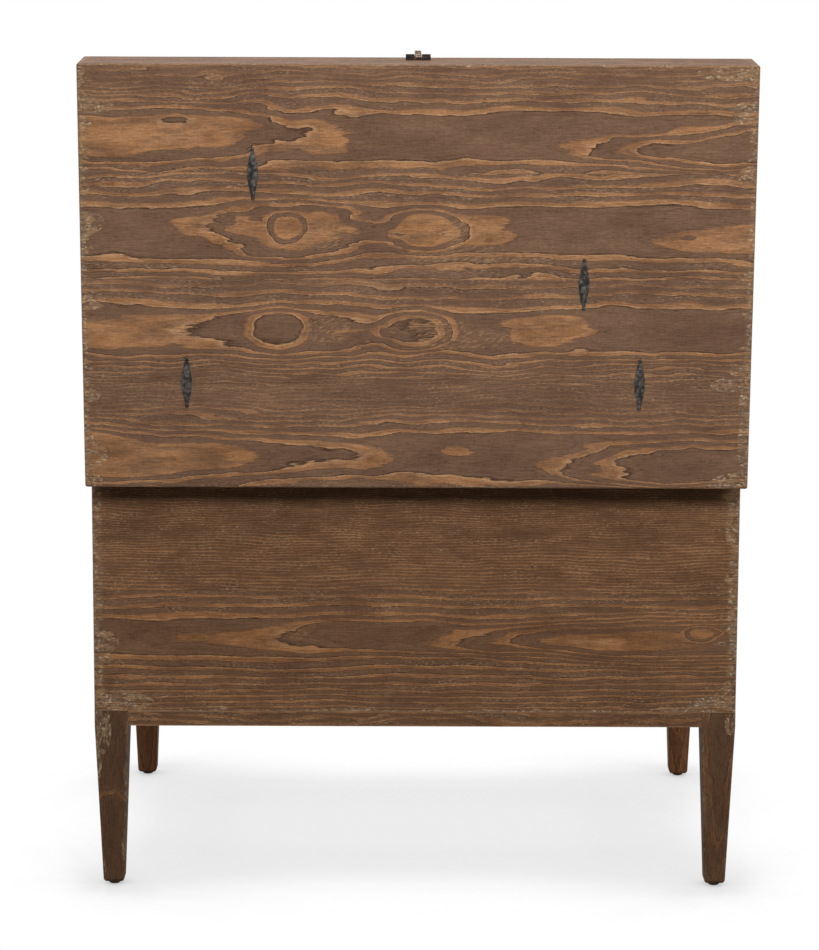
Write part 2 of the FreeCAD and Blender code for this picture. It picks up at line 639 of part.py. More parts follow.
rim_z = (LID_LOW_Z, LID_BOARD_Z)
lid_block = rounded_block((LID_LOW_Z, LID_TOP_Z), LID_TOP_Z, LID_TOP_ARRIS)
rim_height = rim_z[1] - rim_z[0]
dowel_levels = [LID_LOW_Z + share * rim_height for share in RIM_DOWEL_SHARES]
lid_pins, lid_dowel_holes = corner_dowels(dowel_levels)
parts["lid_dowels"] = Part.makeCompound(lid_pins)
rim_cuts = lid_dowel_holes + lid_hinge_cuts + latch_bar_holes() + [stop_bevel(1)]
for side, blank in wall_blanks(rim_z).items():
    parts["lid_rim_" + side] = without(lid_block.common(blank), rim_cuts)

board_width = DEPTH / LID_BOARD_COUNT
for number in range(LID_BOARD_COUNT):
    back = BACK_Y - number * board_width
    board = box((-SIDE_X, SIDE_X), (back - board_width, back), (LID_BOARD_Z, LID_TOP_Z))
    parts["lid_board_%d" % (number + 1)] = without(lid_block.common(board), prong_holes)


# Everything on the lid is turned with it, then each piece is written

LID_NAMES = ("lid_", "latch_bar", "latch_strap", "iron_diamond_", "hinge_lid_")
os.makedirs("parts", exist_ok=True)
for name, shape in parts.items():
    on_lid = name.startswith(LID_NAMES) or name.endswith("_lid_leaf")
    placed = opened(shape) if on_lid else shape
    placed.exportStep("parts/%s.step" % name)
    print("%-28s %d solid(s) %12.2f mm3" % (name, len(placed.Solids), placed.Volume))
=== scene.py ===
import json
import math

import bmesh
import bpy
from mathutils import Matrix, Vector, noise


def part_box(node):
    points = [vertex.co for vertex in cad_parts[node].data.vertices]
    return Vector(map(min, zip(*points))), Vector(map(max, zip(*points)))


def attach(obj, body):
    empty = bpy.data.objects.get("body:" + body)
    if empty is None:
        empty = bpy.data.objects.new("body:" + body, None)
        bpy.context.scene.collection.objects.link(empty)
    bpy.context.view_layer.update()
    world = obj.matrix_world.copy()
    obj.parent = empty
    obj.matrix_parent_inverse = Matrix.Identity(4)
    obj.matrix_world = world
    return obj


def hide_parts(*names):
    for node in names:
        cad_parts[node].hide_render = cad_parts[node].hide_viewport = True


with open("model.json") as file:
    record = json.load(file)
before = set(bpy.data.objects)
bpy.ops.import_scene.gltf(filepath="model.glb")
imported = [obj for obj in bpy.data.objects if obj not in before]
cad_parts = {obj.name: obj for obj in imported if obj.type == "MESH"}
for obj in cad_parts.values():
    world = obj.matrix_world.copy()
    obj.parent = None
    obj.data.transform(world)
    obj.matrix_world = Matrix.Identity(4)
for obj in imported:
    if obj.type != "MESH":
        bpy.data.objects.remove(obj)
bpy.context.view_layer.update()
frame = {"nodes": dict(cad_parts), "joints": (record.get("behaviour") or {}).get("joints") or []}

nodes = frame["nodes"]


# Foot glides: pressed steel discs nailed under the legs, sprayed dark brown.
# The spray leaves a faint orange peel, scuffed a little lighter on its high spots.

MM = 1000.0
METAL_SPECULAR = 0.2
GLOSS_SPREAD = 0.12


def linear(hex_colour):
    """An sRGB hex colour as the linear RGBA that a shader socket takes."""
    channels = [int(hex_colour[start:start + 2], 16) / 255 for start in (1, 3, 5)]
    return [c / 12.92 if c <= 0.04045 else ((c + 0.055) / 1.055) ** 2.4 for c in channels] + [1.0]


def add(tree, kind, inputs=(), output=0, **settings):
    """Add one node and give one output, or the node itself for an output of None.
    Inputs are sockets to link or values to set, listed in order or named."""
    made = tree.nodes.new("ShaderNode" + kind)
    for name, value in settings.items():
        setattr(made, name, value)
    for key, value in inputs.items() if isinstance(inputs, dict) else enumerate(inputs):
        if isinstance(value, bpy.types.NodeSocket):
            tree.links.new(value, made.inputs[key])
        else:
            made.inputs[key].default_value = value
    return made if output is None else made.outputs[output]


def new_finish(name):
    """An empty material and its node tree."""
    finish = bpy.data.materials.new(name)
    finish.use_nodes = True
    finish.node_tree.nodes.clear()
    return finish, finish.node_tree


def give(finish, *names):
    """Put one material on CAD nodes."""
    for name in names:
        nodes[name].data.materials.clear()
        nodes[name].data.materials.append(finish)


def patinated_metal(name, bare, patina, cell_mm, metallic, roughness, relief_mm):
    """Metal with patina in its low places: cells of the given size in millimetres, worn bare on top."""
    finish, tree = new_finish(name)
    place = add(tree, "TexCoord", output="Object")
    blows = add(tree, "TexVoronoi", {"Vector": place, "Scale": MM / cell_mm, "Smoothness": 0.6},
                feature="SMOOTH_F1")
    grit = add(tree, "TexNoise", {"Vector": place, "Scale": 2 * MM / cell_mm, "Detail": 4.0})
    mottle = add(tree, "Math", (blows, grit), operation="ADD")
    worn = add(tree, "MapRange", {"Value": mottle, "From Min": 0.75, "From Max": 1.15})
    colour = add(tree, "Mix", {0: worn, 6: linear(bare), 7: linear(patina)}, output=2, data_type="RGBA")
    gloss = add(tree, "MapRange", {"Value": grit, "To Min": roughness - GLOSS_SPREAD,
                                   "To Max": roughness + GLOSS_SPREAD})
    height = add(tree, "Math", (mottle, -1.0), operation="MULTIPLY")
    bump = add(tree, "Bump", {"Strength": 0.7, "Distance": relief_mm / MM, "Height": height})
    surface = add(tree, "BsdfPrincipled", {"Base Color": colour, "Metallic": metallic, "Roughness": gloss,
                                           "Specular IOR Level": METAL_SPECULAR, "Normal": bump})
    add(tree, "OutputMaterial", {"Surface": surface}, output=None)
    return finish


CORNERS = ("front_left", "front_right", "back_left", "back_right")
give(patinated_metal("sprayed_steel_dark_brown", "#3A2D24", "#2A201A", 2.0, 0.0, 0.45, 0.05),
     *["foot_glide_" + corner for corner in CORNERS])


# Legs: tapered pine, wire-brushed and then stained dark grey brown.
# Brushing leaves the hard late wood standing, and sanding bares it as orange bands.

STAIN_DEEP = "#705341"
STAIN = "#84654F"
LATE_WOOD = "#B5835A"
LATE_WOOD_SHADE = "#936846"
# Painted highlight colour: band crests lightened as if catching the light, and arrises both rubbed and lit
HIGHLIGHT_AND_RUBBED_TAN = "#D3A67C"
BAND_SHADOW = "#3E2C22"
SCRAPED_TAN = "#A8835F"
SCRAPED_GREY = "#8A7765"
FILLER_FLECK = "#D6BD9C"
WOOD_SPECULAR = 0.1
GRAIN_DEPTH = 0.001

# Growth rings lie closer together the further they are from the heart strip. Wander, ragged and combed are
# the shares of a ring by which they stray, and dip is the share lost per millimetre into the wood.
# Swing and bend are how far, in millimetres, the grain strays along and across a board.
RING_CROWDING = 1.5
RING_SPREAD = 11.6
RING_WANDER = 0.4
RING_RAGGED = 0.1
RING_COMBED = 0.14
RING_DIP = 0.16
MINOR_RINGS = 5.0
LATE_WOOD_END = 0.975
GRAIN_SWING = 90
GRAIN_BEND = 34
KNOT_SWING = (16, 8, 0)
FLAT_TOP = 0.4
TICK_SLANT = 0.4

# Wear is in millimetres from a face's edges, apart from the shares of the colour that it takes over
SCRAPE_LEAST = 6.0
SCRAPE_MOST = 20.0
SCRAPE_RAGGED = 6.0
SCRAPE_SOFT = 5.0
SCRAPE_SPOT = 90.0
SCRAPE_SHARE = 0.7
# The arris is pale: partly real rubbing, partly a painted highlight where the rounded edge faces the light
RUBBED_HIGHLIGHT_FROM = 1.6
RUBBED_HIGHLIGHT_FULL = 0.6
RUBBED_HIGHLIGHT_SHARE = 0.55


def grain_space(tree, along, outward, middle):
    """Object coordinates in millimetres from a face's middle: along the grain, across it and outwards."""
    turn = Matrix((along, outward.cross(along), outward))
    place = add(tree, "TexCoord", output="Object")
    return add(tree, "Mapping", {"Vector": place, "Location": turn @ middle * -MM,
                                 "Rotation": turn.to_euler(), "Scale": (MM, MM, MM)})


def pattern(tree, place, size, detail=2.0, roughness=0.5, shift=0.0):
    """Noise from 0 to 1 whose spots have a real size in millimetres along, across and into the wood.
    Each shift gives another stretch of the noise."""
    stretch = (shift, shift * 0.37, shift * 0.71)
    scaled = add(tree, "VectorMath", (place, [1 / side for side in size], stretch),
                 operation="MULTIPLY_ADD")
    return add(tree, "TexNoise", {"Vector": scaled, "Scale": 1.0, "Detail": detail, "Roughness": roughness})


def swellings(tree, place, spots, height=None):
    """Flat-topped humps on the face: each spot is a place along and across, two half sizes, and as far as
    it has them its own height and how much of it is flat."""
    total = None
    for along, across, half_length, half_width, *own in spots:
        scale = (1 / half_length, 1 / half_width, 0)
        offset = (-along / half_length, -across / half_width, 0)
        reach = add(tree, "VectorMath", (place, scale, offset), operation="MULTIPLY_ADD")
        reach = add(tree, "VectorMath", (reach,), output="Value", operation="LENGTH")
        top = own[0] if own else height
        flat = own[1] if own[1:] else FLAT_TOP
        hump = add(tree, "MapRange", {"Value": reach, "From Min": flat, "To Min": top, "To Max": 0.0},
                   interpolation_type="SMOOTHSTEP")
        total = hump if total is None else add(tree, "Math", (total, hump), operation="ADD")
    return total


def growth_rings(tree, place, board, shift):
    """The growth ring that a point lies in, counted from the board's heart strip, with its flames and
    knots, and how far the point lies from the strip."""
    along_warp = pattern(tree, place, (60, 12, 12), 3.0, shift=shift + 5)
    across_warp = pattern(tree, place, (130, 40, 40), 3.0, shift=shift + 9)
    warp = add(tree, "CombineXYZ", (along_warp, across_warp, 0.5))
    warp = add(tree, "VectorMath", (warp, (0.5, 0.5, 0.5)), operation="SUBTRACT")
    warped = add(tree, "VectorMath", (warp, (GRAIN_SWING, board.get("bend", GRAIN_BEND), 0), place),
                 operation="MULTIPLY_ADD")
    nudged = add(tree, "VectorMath", (warp, KNOT_SWING, place), operation="MULTIPLY_ADD")
    axes = add(tree, "SeparateXYZ", (warped,), output=None)
    from_heart = add(tree, "Math", (axes.outputs[1], board["heart"]), operation="SUBTRACT")
    upper = add(tree, "Math", (from_heart, 0.0), operation="GREATER_THAN")
    distance = add(tree, "Math", (from_heart,), operation="ABSOLUTE")
    distance = add(tree, "Math", (distance, board["strip"]), operation="SUBTRACT")
    distance = add(tree, "Math", (distance, 0.0), operation="MAXIMUM")
    steep = add(tree, "Math", (distance, RING_CROWDING), operation="POWER")
    lower_slope, upper_slope = [-1 / (RING_SPREAD * spacing) for spacing in board["spacings"]]
    slope = add(tree, "MapRange", {"Value": upper, "To Min": lower_slope, "To Max": upper_slope})
    wander = board.get("wander", RING_WANDER)
    start = board["phase"] - (wander + RING_RAGGED + RING_COMBED) / 2
    rings = add(tree, "Math", (steep, slope, start), operation="MULTIPLY_ADD")
    rings = add(tree, "Math", (axes.outputs[2], board.get("dip", RING_DIP), rings),
                operation="MULTIPLY_ADD")
    for spots, spot_place in ((board.get("figures"), warped), (board.get("knots"), nudged)):
        if spots:
            rings = add(tree, "Math", (rings, swellings(tree, spot_place, spots)), operation="ADD")
    broad = pattern(tree, place, (240, 50, 50), 2.0, shift=shift + 13)
    rings = add(tree, "Math", (broad, wander, rings), operation="MULTIPLY_ADD")
    ragged = pattern(tree, place, (14, 3, 3), 3.0, 0.6, shift=shift + 21)
    rings = add(tree, "Math", (ragged, RING_RAGGED, rings), operation="MULTIPLY_ADD")
    combed = pattern(tree, place, (16, 1.1, 1.1), 2.0, 0.6, shift=shift + 25)
    rings = add(tree, "Math", (combed, RING_COMBED, rings), operation="MULTIPLY_ADD")
    return rings, distance


def stained_pine(name, along, outward, middle, board, edge_of, shift, tone_and_painted_light=(1, 1, 1), wear=1.0, scrapes=()):
    """Brushed and stained pine: late wood bands on dark stain, scraped and filled along the edges.
    Pores, fibres and flecks are drawn about a millimetre wide, coarser than real ones, so they show."""
    finish, tree = new_finish(name)
    place = grain_space(tree, along, outward, middle)
    rings, from_strip = growth_rings(tree, place, board, shift)
    phase = add(tree, "Math", (rings,), operation="FRACT")

    # Each ring is a wide stained stretch, then a late wood band that ends at a step with a shadow under it
    share = pattern(tree, place, (120, 24, 24), 1.0, shift=shift + 31)
    start = add(tree, "MapRange", {"Value": share, "From Min": 0.3, "From Max": 0.7, "To Min": 0.5,
                                   "To Max": 0.64})
    start_soft = add(tree, "Math", (start, 0.06), operation="ADD")
    rise = add(tree, "MapRange", {"Value": phase, "From Min": start, "From Max": start_soft})
    fall = add(tree, "MapRange", {"Value": phase, "From Min": LATE_WOOD_END, "From Max": 1.0,
                                  "To Min": 1.0, "To Max": 0.0})
    band = add(tree, "Math", (rise, fall), operation="MULTIPLY")
    shadow = add(tree, "MapRange", {"Value": phase, "From Min": 0.0, "From Max": 0.1, "To Min": 1.0,
                                    "To Max": 0.0})
    minor = add(tree, "Math", (rings, MINOR_RINGS), operation="MULTIPLY")
    minor = add(tree, "Math", (minor,), operation="FRACT")
    minor = add(tree, "MapRange", {"Value": minor, "From Min": 0.0, "From Max": 0.3, "To Min": 0.78,
                                   "To Max": 1.03})

    # Fibres run with the grain, rays cross it, and the stain took unevenly
    fibres = pattern(tree, place, (18, 1.7, 1.7), 3.0, 0.6, shift=shift + 41)
    pores = pattern(tree, place, (6.0, 1.0, 1.0), 3.0, 0.65, shift=shift + 45)
    rays = pattern(tree, place, (1.6, 9, 9), 2.0, 0.5, shift=shift + 43)
    mottle = pattern(tree, place, (75, 26, 26), 3.0, 0.55, shift=shift + 47)
    bared = pattern(tree, place, (48, 10, 10), 5.0, 0.68, shift=shift + 53)
    stain = add(tree, "MapRange", {"Value": mottle, "From Min": 0.3, "From Max": 0.7})
    colour = add(tree, "Mix", {0: stain, 6: linear(STAIN_DEEP), 7: linear(STAIN)}, output=2,
                 data_type="RGBA")
    sanded = add(tree, "MapRange", {"Value": bared, "From Min": 0.34, "From Max": 0.56, "To Min": 0.25,
                                    "To Max": 1.0})
    smudge = add(tree, "MapRange", {"Value": mottle, "From Min": 0.35, "From Max": 0.6})
    late = add(tree, "Mix", {0: smudge, 6: linear(LATE_WOOD_SHADE), 7: linear(LATE_WOOD)}, output=2,
               data_type="RGBA")
    crowded = add(tree, "MapRange", {"Value": from_strip, "From Min": 12.0, "From Max": 42.0,
                                     "To Min": board["contrast"][0], "To Max": board["contrast"][1]})
    # Just before its step each band gets a painted highlight where its raised edge would catch the light
    crest_highlight = add(tree, "MapRange", {"Value": phase, "From Min": 0.86, "From Max": 0.96})
    crest_highlight = add(tree, "Math", (crest_highlight, pores), operation="MULTIPLY")
    late = add(tree, "Mix", {0: crest_highlight, 6: late, 7: linear(HIGHLIGHT_AND_RUBBED_TAN)}, output=2, data_type="RGBA")
    late_share = add(tree, "Math", (band, sanded), operation="MULTIPLY")
    late_share = add(tree, "Math", (late_share, crowded), operation="MULTIPLY")
    colour = add(tree, "Mix", {0: late_share, 6: colour, 7: late}, output=2, data_type="RGBA")
    broken = add(tree, "MapRange", {"Value": bared, "From Min": 0.35, "From Max": 0.6, "To Min": 0.35,
                                    "To Max": 0.9})
    shade_share = add(tree, "Math", (shadow, broken), operation="MULTIPLY")
    shade_share = add(tree, "Math", (shade_share, crowded), operation="MULTIPLY")
    colour = add(tree, "Mix", {0: shade_share, 6: colour, 7: linear(BAND_SHADOW)}, output=2,
                 data_type="RGBA")

    # Round the knots the brush skipped over steep grain, and left short slanting ticks
    if board.get("ticks"):
        axes = add(tree, "SeparateXYZ", (place,), output=None)
        slanted = add(tree, "VectorMath", (place, (-TICK_SLANT, 1, 0)), output="Value",
                      operation="DOT_PRODUCT")
        slanted = add(tree, "CombineXYZ", (axes.outputs[0], slanted, axes.outputs[2]))
        ticks = pattern(tree, slanted, (7, 1.7, 1.7), 1.0, shift=shift + 59)
        tick = add(tree, "MapRange", {"Value": ticks, "From Min": 0.52, "From Max": 0.6, "To Max": 0.6})
        skipped = add(tree, "Math", (bared, swellings(tree, place, board["ticks"], 1.0)),
                      operation="MULTIPLY")
        skipped = add(tree, "MapRange", {"Value": skipped, "From Min": 0.3, "From Max": 0.45})
        tick = add(tree, "Math", (skipped, tick), operation="MULTIPLY")
        colour = add(tree, "Mix", {0: tick, 6: colour, 7: linear(SCRAPED_TAN)}, output=2, data_type="RGBA")

    # Fibres, pores and dark flecks streak the stain, and torn grain between the rings shows pale flecks
    streak = add(tree, "Math", (rays, 0.35, fibres), operation="MULTIPLY_ADD")
    streak = add(tree, "Math", (pores, 0.9, streak), operation="MULTIPLY_ADD")
    streak = add(tree, "MapRange", {"Value": streak, "From Min": 0.65, "From Max": 1.6, "To Min": 0.6,
                                    "To Max": 1.4})
    flecks = pattern(tree, place, (4.0, 0.8, 0.8), 2.0, 0.5, shift=shift + 49)
    fleck = add(tree, "MapRange", {"Value": flecks, "From Min": 0.3, "From Max": 0.44, "To Min": 0.62,
                                   "To Max": 1.0})
    streak = add(tree, "Math", (streak, fleck), operation="MULTIPLY")
    streak = add(tree, "Math", (streak, minor), operation="MULTIPLY")
    colour = add(tree, "VectorMath", {0: colour, "Scale": streak}, operation="SCALE")
    # The tone is the piece's own stain, and for some pieces also painted light and shade
    colour = add(tree, "VectorMath", (colour, tone_and_painted_light), operation="MULTIPLY")
    missed = add(tree, "MapRange", {"Value": flecks, "From Min": 0.56, "From Max": 0.68, "To Max": 0.42})
    torn = add(tree, "MapRange", {"Value": bared, "From Min": 0.46, "From Max": 0.58})
    lined = add(tree, "MapRange", {"Value": from_strip, "From Min": 4.0, "From Max": 16.0})
    missed = add(tree, "Math", (missed, torn), operation="MULTIPLY")
    missed = add(tree, "Math", (missed, lined), operation="MULTIPLY")
    colour = add(tree, "Mix", {0: missed, 6: colour, 7: linear(FILLER_FLECK)}, output=2, data_type="RGBA")

    # Edges are scraped through to tan and grey wood, deepest in patches, with flecks of pale filler
    edge, arris = edge_of(tree, place)
    patches = pattern(tree, place, (40, 18, 18), 2.0, 0.5, shift=shift + 61)
    reach = add(tree, "MapRange", {"Value": patches, "From Min": 0.52, "From Max": 0.75,
                                   "To Min": SCRAPE_LEAST * wear, "To Max": SCRAPE_MOST * wear})
    chips = pattern(tree, place, (7, 3.5, 3.5), 3.0, 0.6, shift=shift + 67)
    reach = add(tree, "Math", (chips, SCRAPE_RAGGED * wear, reach), operation="MULTIPLY_ADD")
    if scrapes:
        reach = add(tree, "Math", (reach, swellings(tree, place, scrapes, SCRAPE_SPOT)), operation="ADD")
    inside = add(tree, "Math", (reach, edge), operation="SUBTRACT")
    strip = add(tree, "MapRange", {"Value": inside, "From Min": 0.0, "From Max": SCRAPE_SOFT})
    bitten = pattern(tree, place, (15, 6, 6), 4.0, 0.6, shift=shift + 73)
    bite = add(tree, "MapRange", {"Value": bitten, "From Min": 0.38, "From Max": 0.56})
    worn = add(tree, "Math", (strip, bite), operation="MULTIPLY")
    blotch = pattern(tree, place, (16, 8, 8), 3.0, 0.6, shift=shift + 71)
    grey = add(tree, "MapRange", {"Value": blotch, "From Min": 0.45, "From Max": 0.6})
    scraped = add(tree, "Mix", {0: grey, 6: linear(SCRAPED_TAN), 7: linear(SCRAPED_GREY)}, output=2,
                  data_type="RGBA")
    dabs = pattern(tree, place, (9, 5, 5), 2.0, 0.5, shift=shift + 83)
    dab = add(tree, "MapRange", {"Value": dabs, "From Min": 0.48, "From Max": 0.4, "To Max": 0.6})
    scraped = add(tree, "Mix", {0: dab, 6: scraped, 7: linear(BAND_SHADOW)}, output=2, data_type="RGBA")
    flecks = pattern(tree, place, (4.5, 2.2, 2.2), 2.0, 0.6, shift=shift + 79)
    fleck = add(tree, "MapRange", {"Value": flecks, "From Min": 0.55, "From Max": 0.62})
    scraped = add(tree, "Mix", {0: fleck, 6: scraped, 7: linear(FILLER_FLECK)}, output=2, data_type="RGBA")
    worn_share = add(tree, "Math", (worn, SCRAPE_SHARE), operation="MULTIPLY")
    colour = add(tree, "Mix", {0: worn_share, 6: colour, 7: scraped}, output=2, data_type="RGBA")
    # Pale arris: partly rubbed wood, partly a painted highlight where the rounded edge faces the light
    rubbed_highlight = add(tree, "MapRange", {"Value": arris, "From Min": RUBBED_HIGHLIGHT_FROM, "From Max": RUBBED_HIGHLIGHT_FULL,
                                    "To Max": RUBBED_HIGHLIGHT_SHARE})
    rubbed_highlight = add(tree, "Math", (rubbed_highlight, blotch), operation="MULTIPLY")
    colour = add(tree, "Mix", {0: rubbed_highlight, 6: colour, 7: linear(HIGHLIGHT_AND_RUBBED_TAN)}, output=2,
                 data_type="RGBA")

    # Late wood stands proud of the stained stretches, and the scrapes are nicked
    relief = add(tree, "Math", (band, 0.55), operation="MULTIPLY")
    relief = add(tree, "Math", (shadow, -0.35, relief), operation="MULTIPLY_ADD")
    relief = add(tree, "Math", (fibres, 0.5, relief), operation="MULTIPLY_ADD")
    nicks = add(tree, "Math", (chips, worn), operation="MULTIPLY")
    relief = add(tree, "Math", (nicks, -0.9, relief), operation="MULTIPLY_ADD")
    bump = add(tree, "Bump", {"Strength": 0.8, "Distance": GRAIN_DEPTH, "Height": relief})
    gloss = add(tree, "MapRange", {"Value": fibres, "To Min": 0.75, "To Max": 0.55})
    surface = add(tree, "BsdfPrincipled", {"Base Color": colour, "Roughness": gloss, "IOR": 1.45,
                                           "Specular IOR Level": WOOD_SPECULAR, "Normal": bump})
    add(tree, "OutputMaterial", {"Surface": surface}, output=None)
    return finish


X_AXIS, Y_AXIS, Z_AXIS = Matrix.Identity(3)
LEG_TOP_HALF = 20.0
LEG_FOOT_HALF = 12.4
LEG_TAPER_TOP = 200.5
LEG_TAPER_FOOT = 7.5
LEG_RUBBED_HIGHLIGHT_OFF = 1.0
# Back legs darker, partly their stain and partly painted shade towards the floor; front legs redder and
# lightened with painted light for the chest's shade over them
BACK_LEG_TONE_AND_SHADE = (0.64, 0.6, 0.52)
FRONT_LEG_TONE_AND_PAINTED_LIGHT = (1.5, 1.24, 0.95)
LEG_WEAR = 0.3


def leg_edge(tree, place):
    """How far a point of a tapered leg lies from the nearest of its four long edges, for scraping and,
    counted a little further off, for the rubbed arris and its painted highlight."""
    sides = add(tree, "VectorMath", (place,), operation="ABSOLUTE")
    axes = add(tree, "SeparateXYZ", (sides,), output=None)
    half = add(tree, "MapRange", {"Value": axes.outputs[0], "From Min": LEG_TAPER_FOOT,
                                  "From Max": LEG_TAPER_TOP, "To Min": LEG_FOOT_HALF,
                                  "To Max": LEG_TOP_HALF})
    nearer = add(tree, "Math", (axes.outputs[1], axes.outputs[2]), operation="MINIMUM")
    edge = add(tree, "Math", (half, nearer), operation="SUBTRACT")
    return edge, add(tree, "Math", (edge, LEG_RUBBED_HIGHLIGHT_OFF), operation="ADD")


# One leg's face was cut across the end of a ring, which shows as a thin arch low down
ARCHED_BOARD = {"heart": 0, "strip": 20, "dip": 0.0, "phase": 0.22, "wander": 0.1, "bend": 12,
                "contrast": (0.75, 0.5), "figures": (), "knots": [(-44, 0, 172, 46, 1.0, 0.9)]}
LEG_SCRAPES = {"back_right": [(196, 10, 34, 12), (150, 17, 20, 5)], "back_left": [(205, -14, 16, 8)]}
for number, corner in enumerate(CORNERS):
    low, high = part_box("leg_" + corner)
    foot = Vector(((low.x + high.x) / 2, (low.y + high.y) / 2, 0))
    shift = 11.3 * number + 3
    board = {"heart": 4 - 3 * number, "strip": 3, "spacings": (6.5, 6.0), "phase": 0.2 * number,
             "wander": 1.0, "contrast": (0.4, 0.4), "figures": [(90, 0, 50, 12, 0.7)]}
    if corner == "back_right":
        board.update(ARCHED_BOARD)
    tone_and_painted_light = BACK_LEG_TONE_AND_SHADE if corner.startswith("back") else FRONT_LEG_TONE_AND_PAINTED_LIGHT
    give(stained_pine("stained_pine_leg_" + corner, Z_AXIS, Y_AXIS, foot, board, leg_edge, shift, tone_and_painted_light,
                      LEG_WEAR, LEG_SCRAPES.get(corner, ())), "leg_" + corner)


# Rails: flat pine strips tenoned into the legs, all but flush with the walls above, and stained with them.
# Their lower edges are scraped a little.

LONG_EDGE_CARE = 3.0
LONG_EDGE_MARGIN = 4.0
# Rails darker than the chest: partly their stain, partly painted shade under the chest
RAIL_TONE_AND_SHADE = (0.78, 0.72, 0.63)
RAIL_WEAR = 0.4


def box_edge(half_along, half_across):
    """A function for how far a point lies from the edges round a face with the given half sizes, for
    scraping and for the rubbed arris with its painted highlight. The long edges are scraped less than the
    ends, so they count as further away."""
    def edge(tree, place):
        sides = add(tree, "VectorMath", (place,), operation="ABSOLUTE")
        axes = add(tree, "SeparateXYZ", (sides,), output=None)
        end = add(tree, "Math", (half_along, axes.outputs[0]), operation="SUBTRACT")
        side = add(tree, "Math", (half_across, axes.outputs[1]), operation="SUBTRACT")
        end_line = add(tree, "Math", (end, axes.outputs[2]), operation="MAXIMUM")
        side_line = add(tree, "Math", (side, axes.outputs[2]), operation="MAXIMUM")
        corner_line = add(tree, "Math", (end, side), operation="MAXIMUM")
        arris = add(tree, "Math", (end_line, side_line), operation="MINIMUM")
        side_line = add(tree, "Math", (side_line, LONG_EDGE_CARE, LONG_EDGE_MARGIN),
                        operation="MULTIPLY_ADD")
        nearest = add(tree, "Math", (end_line, side_line), operation="MINIMUM")
        return add(tree, "Math", (nearest, corner_line), operation="MINIMUM"), arris
    return edge


SIDES = {"front": -Y_AXIS, "back": Y_AXIS, "left": -X_AXIS, "right": X_AXIS}
chest_low, chest_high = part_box("back_board_lower")[0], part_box("back_board_upper")[1]
side_x = chest_high.x
back_y = chest_high.y


def face_middle(outward, low_z, high_z):
    """The middle of one outer face of the chest, between two heights."""
    return Vector((outward.x * side_x, outward.y * back_y, (low_z + high_z) / 2))


for number, (side, outward) in enumerate(SIDES.items()):
    low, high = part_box("rail_" + side)
    half_length = max(high.x - low.x, high.y - low.y) * MM / 2
    shift = 7.7 * number + 60
    board = {"heart": -40, "strip": 0, "spacings": (6.0, 6.0), "phase": 0.0, "contrast": (0.7, 0.7)}
    edge = box_edge(half_length + 2 * LEG_TOP_HALF, (high.z - low.z) * MM / 2)
    give(stained_pine("stained_pine_rail_" + side, Z_AXIS.cross(outward), outward,
                      face_middle(outward, low.z, high.z), board, edge, shift, RAIL_TONE_AND_SHADE, RAIL_WEAR),
         "rail_" + side)


# Corner blocks and bottom panel: the same pine left bare, planed smooth and gone honey coloured.
# Glue blocks and panel never met the wire brush, so the grain is flat and even.

PLANED_PINE = "#C39A68"
PLANED_PINE_LATE = "#A6743F"


def planed_wood(name, early, late, along, outward, middle, heart, spacing, shift):
    """Bare planed wood: soft bands on a pale ground."""
    finish, tree = new_finish(name)
    place = grain_space(tree, along, outward, middle)
    board = {"heart": heart, "strip": 10, "spacings": (spacing, spacing), "phase": 0.0,
             "figures": [(40, 10, 120, 40, 1.5)]}
    rings, _ = growth_rings(tree, place, board, shift)
    phase = add(tree, "Math", (rings,), operation="FRACT")
    fibres = pattern(tree, place, (40, 1.2, 1.2), 3.0, 0.6, shift=shift + 3)
    band = add(tree, "MapRange", {"Value": phase, "From Min": 0.25, "From Max": 1.0})
    colour = add(tree, "Mix", {0: band, 6: linear(early), 7: linear(late)}, output=2, data_type="RGBA")
    streak = add(tree, "MapRange", {"Value": fibres, "To Min": 0.85, "To Max": 1.15})
    colour = add(tree, "VectorMath", {0: colour, "Scale": streak}, operation="SCALE")
    bump = add(tree, "Bump", {"Strength": 0.4, "Distance": 0.0002, "Height": fibres})
    surface = add(tree, "BsdfPrincipled", {"Base Color": colour, "Roughness": 0.55,
                                           "Specular IOR Level": 0.4, "Normal": bump})
    add(tree, "OutputMaterial", {"Surface": surface}, output=None)
    return finish


panel_middle = Vector((0, 0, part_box("bottom_panel")[1].z))
give(planed_wood("planed_pine_panel", PLANED_PINE, PLANED_PINE_LATE, X_AXIS, Z_AXIS, panel_middle,
                 heart=60, spacing=7.0, shift=2.0), "bottom_panel")
give(planed_wood("planed_pine_blocks", PLANED_PINE, PLANED_PINE_LATE, Z_AXIS, Y_AXIS, panel_middle,
                 heart=30, spacing=4.0, shift=8.0), *["corner_block_" + corner for corner in CORNERS])


# Screws: bright zinc-plated steel gone dull, slotted by a saw.
# The plating is worn brighter on its high spots and grey in between.

give(patinated_metal("zinc_plated_steel", "#A09C94", "#77736B", 1.5, 1.0, 0.42, 0.05),
     "corner_block_screws", "stand_screws", "hinge_chest_screws", "hinge_lid_screws")


# Dowels: beech pegs glued in the corner laps, hardly ever seen.
# Beech is even and pale, with close, faint rings.

give(planed_wood("beech_dowel", "#C9A77E", "#B88F63", Y_AXIS, Z_AXIS, panel_middle,
                 heart=20, spacing=3.0, shift=14.0), "chest_dowels", "lid_dowels")


# Chest walls: two pine boards edge-glued on each side, brushed, stained and scraped along the corners.
# The back's lower board is flat-sawn with long flames; its upper board is straight-grained.

seam_z, joint_z = chest_low.z, chest_high.z
WALL_HALF_HEIGHT = (joint_z - seam_z) * MM / 2
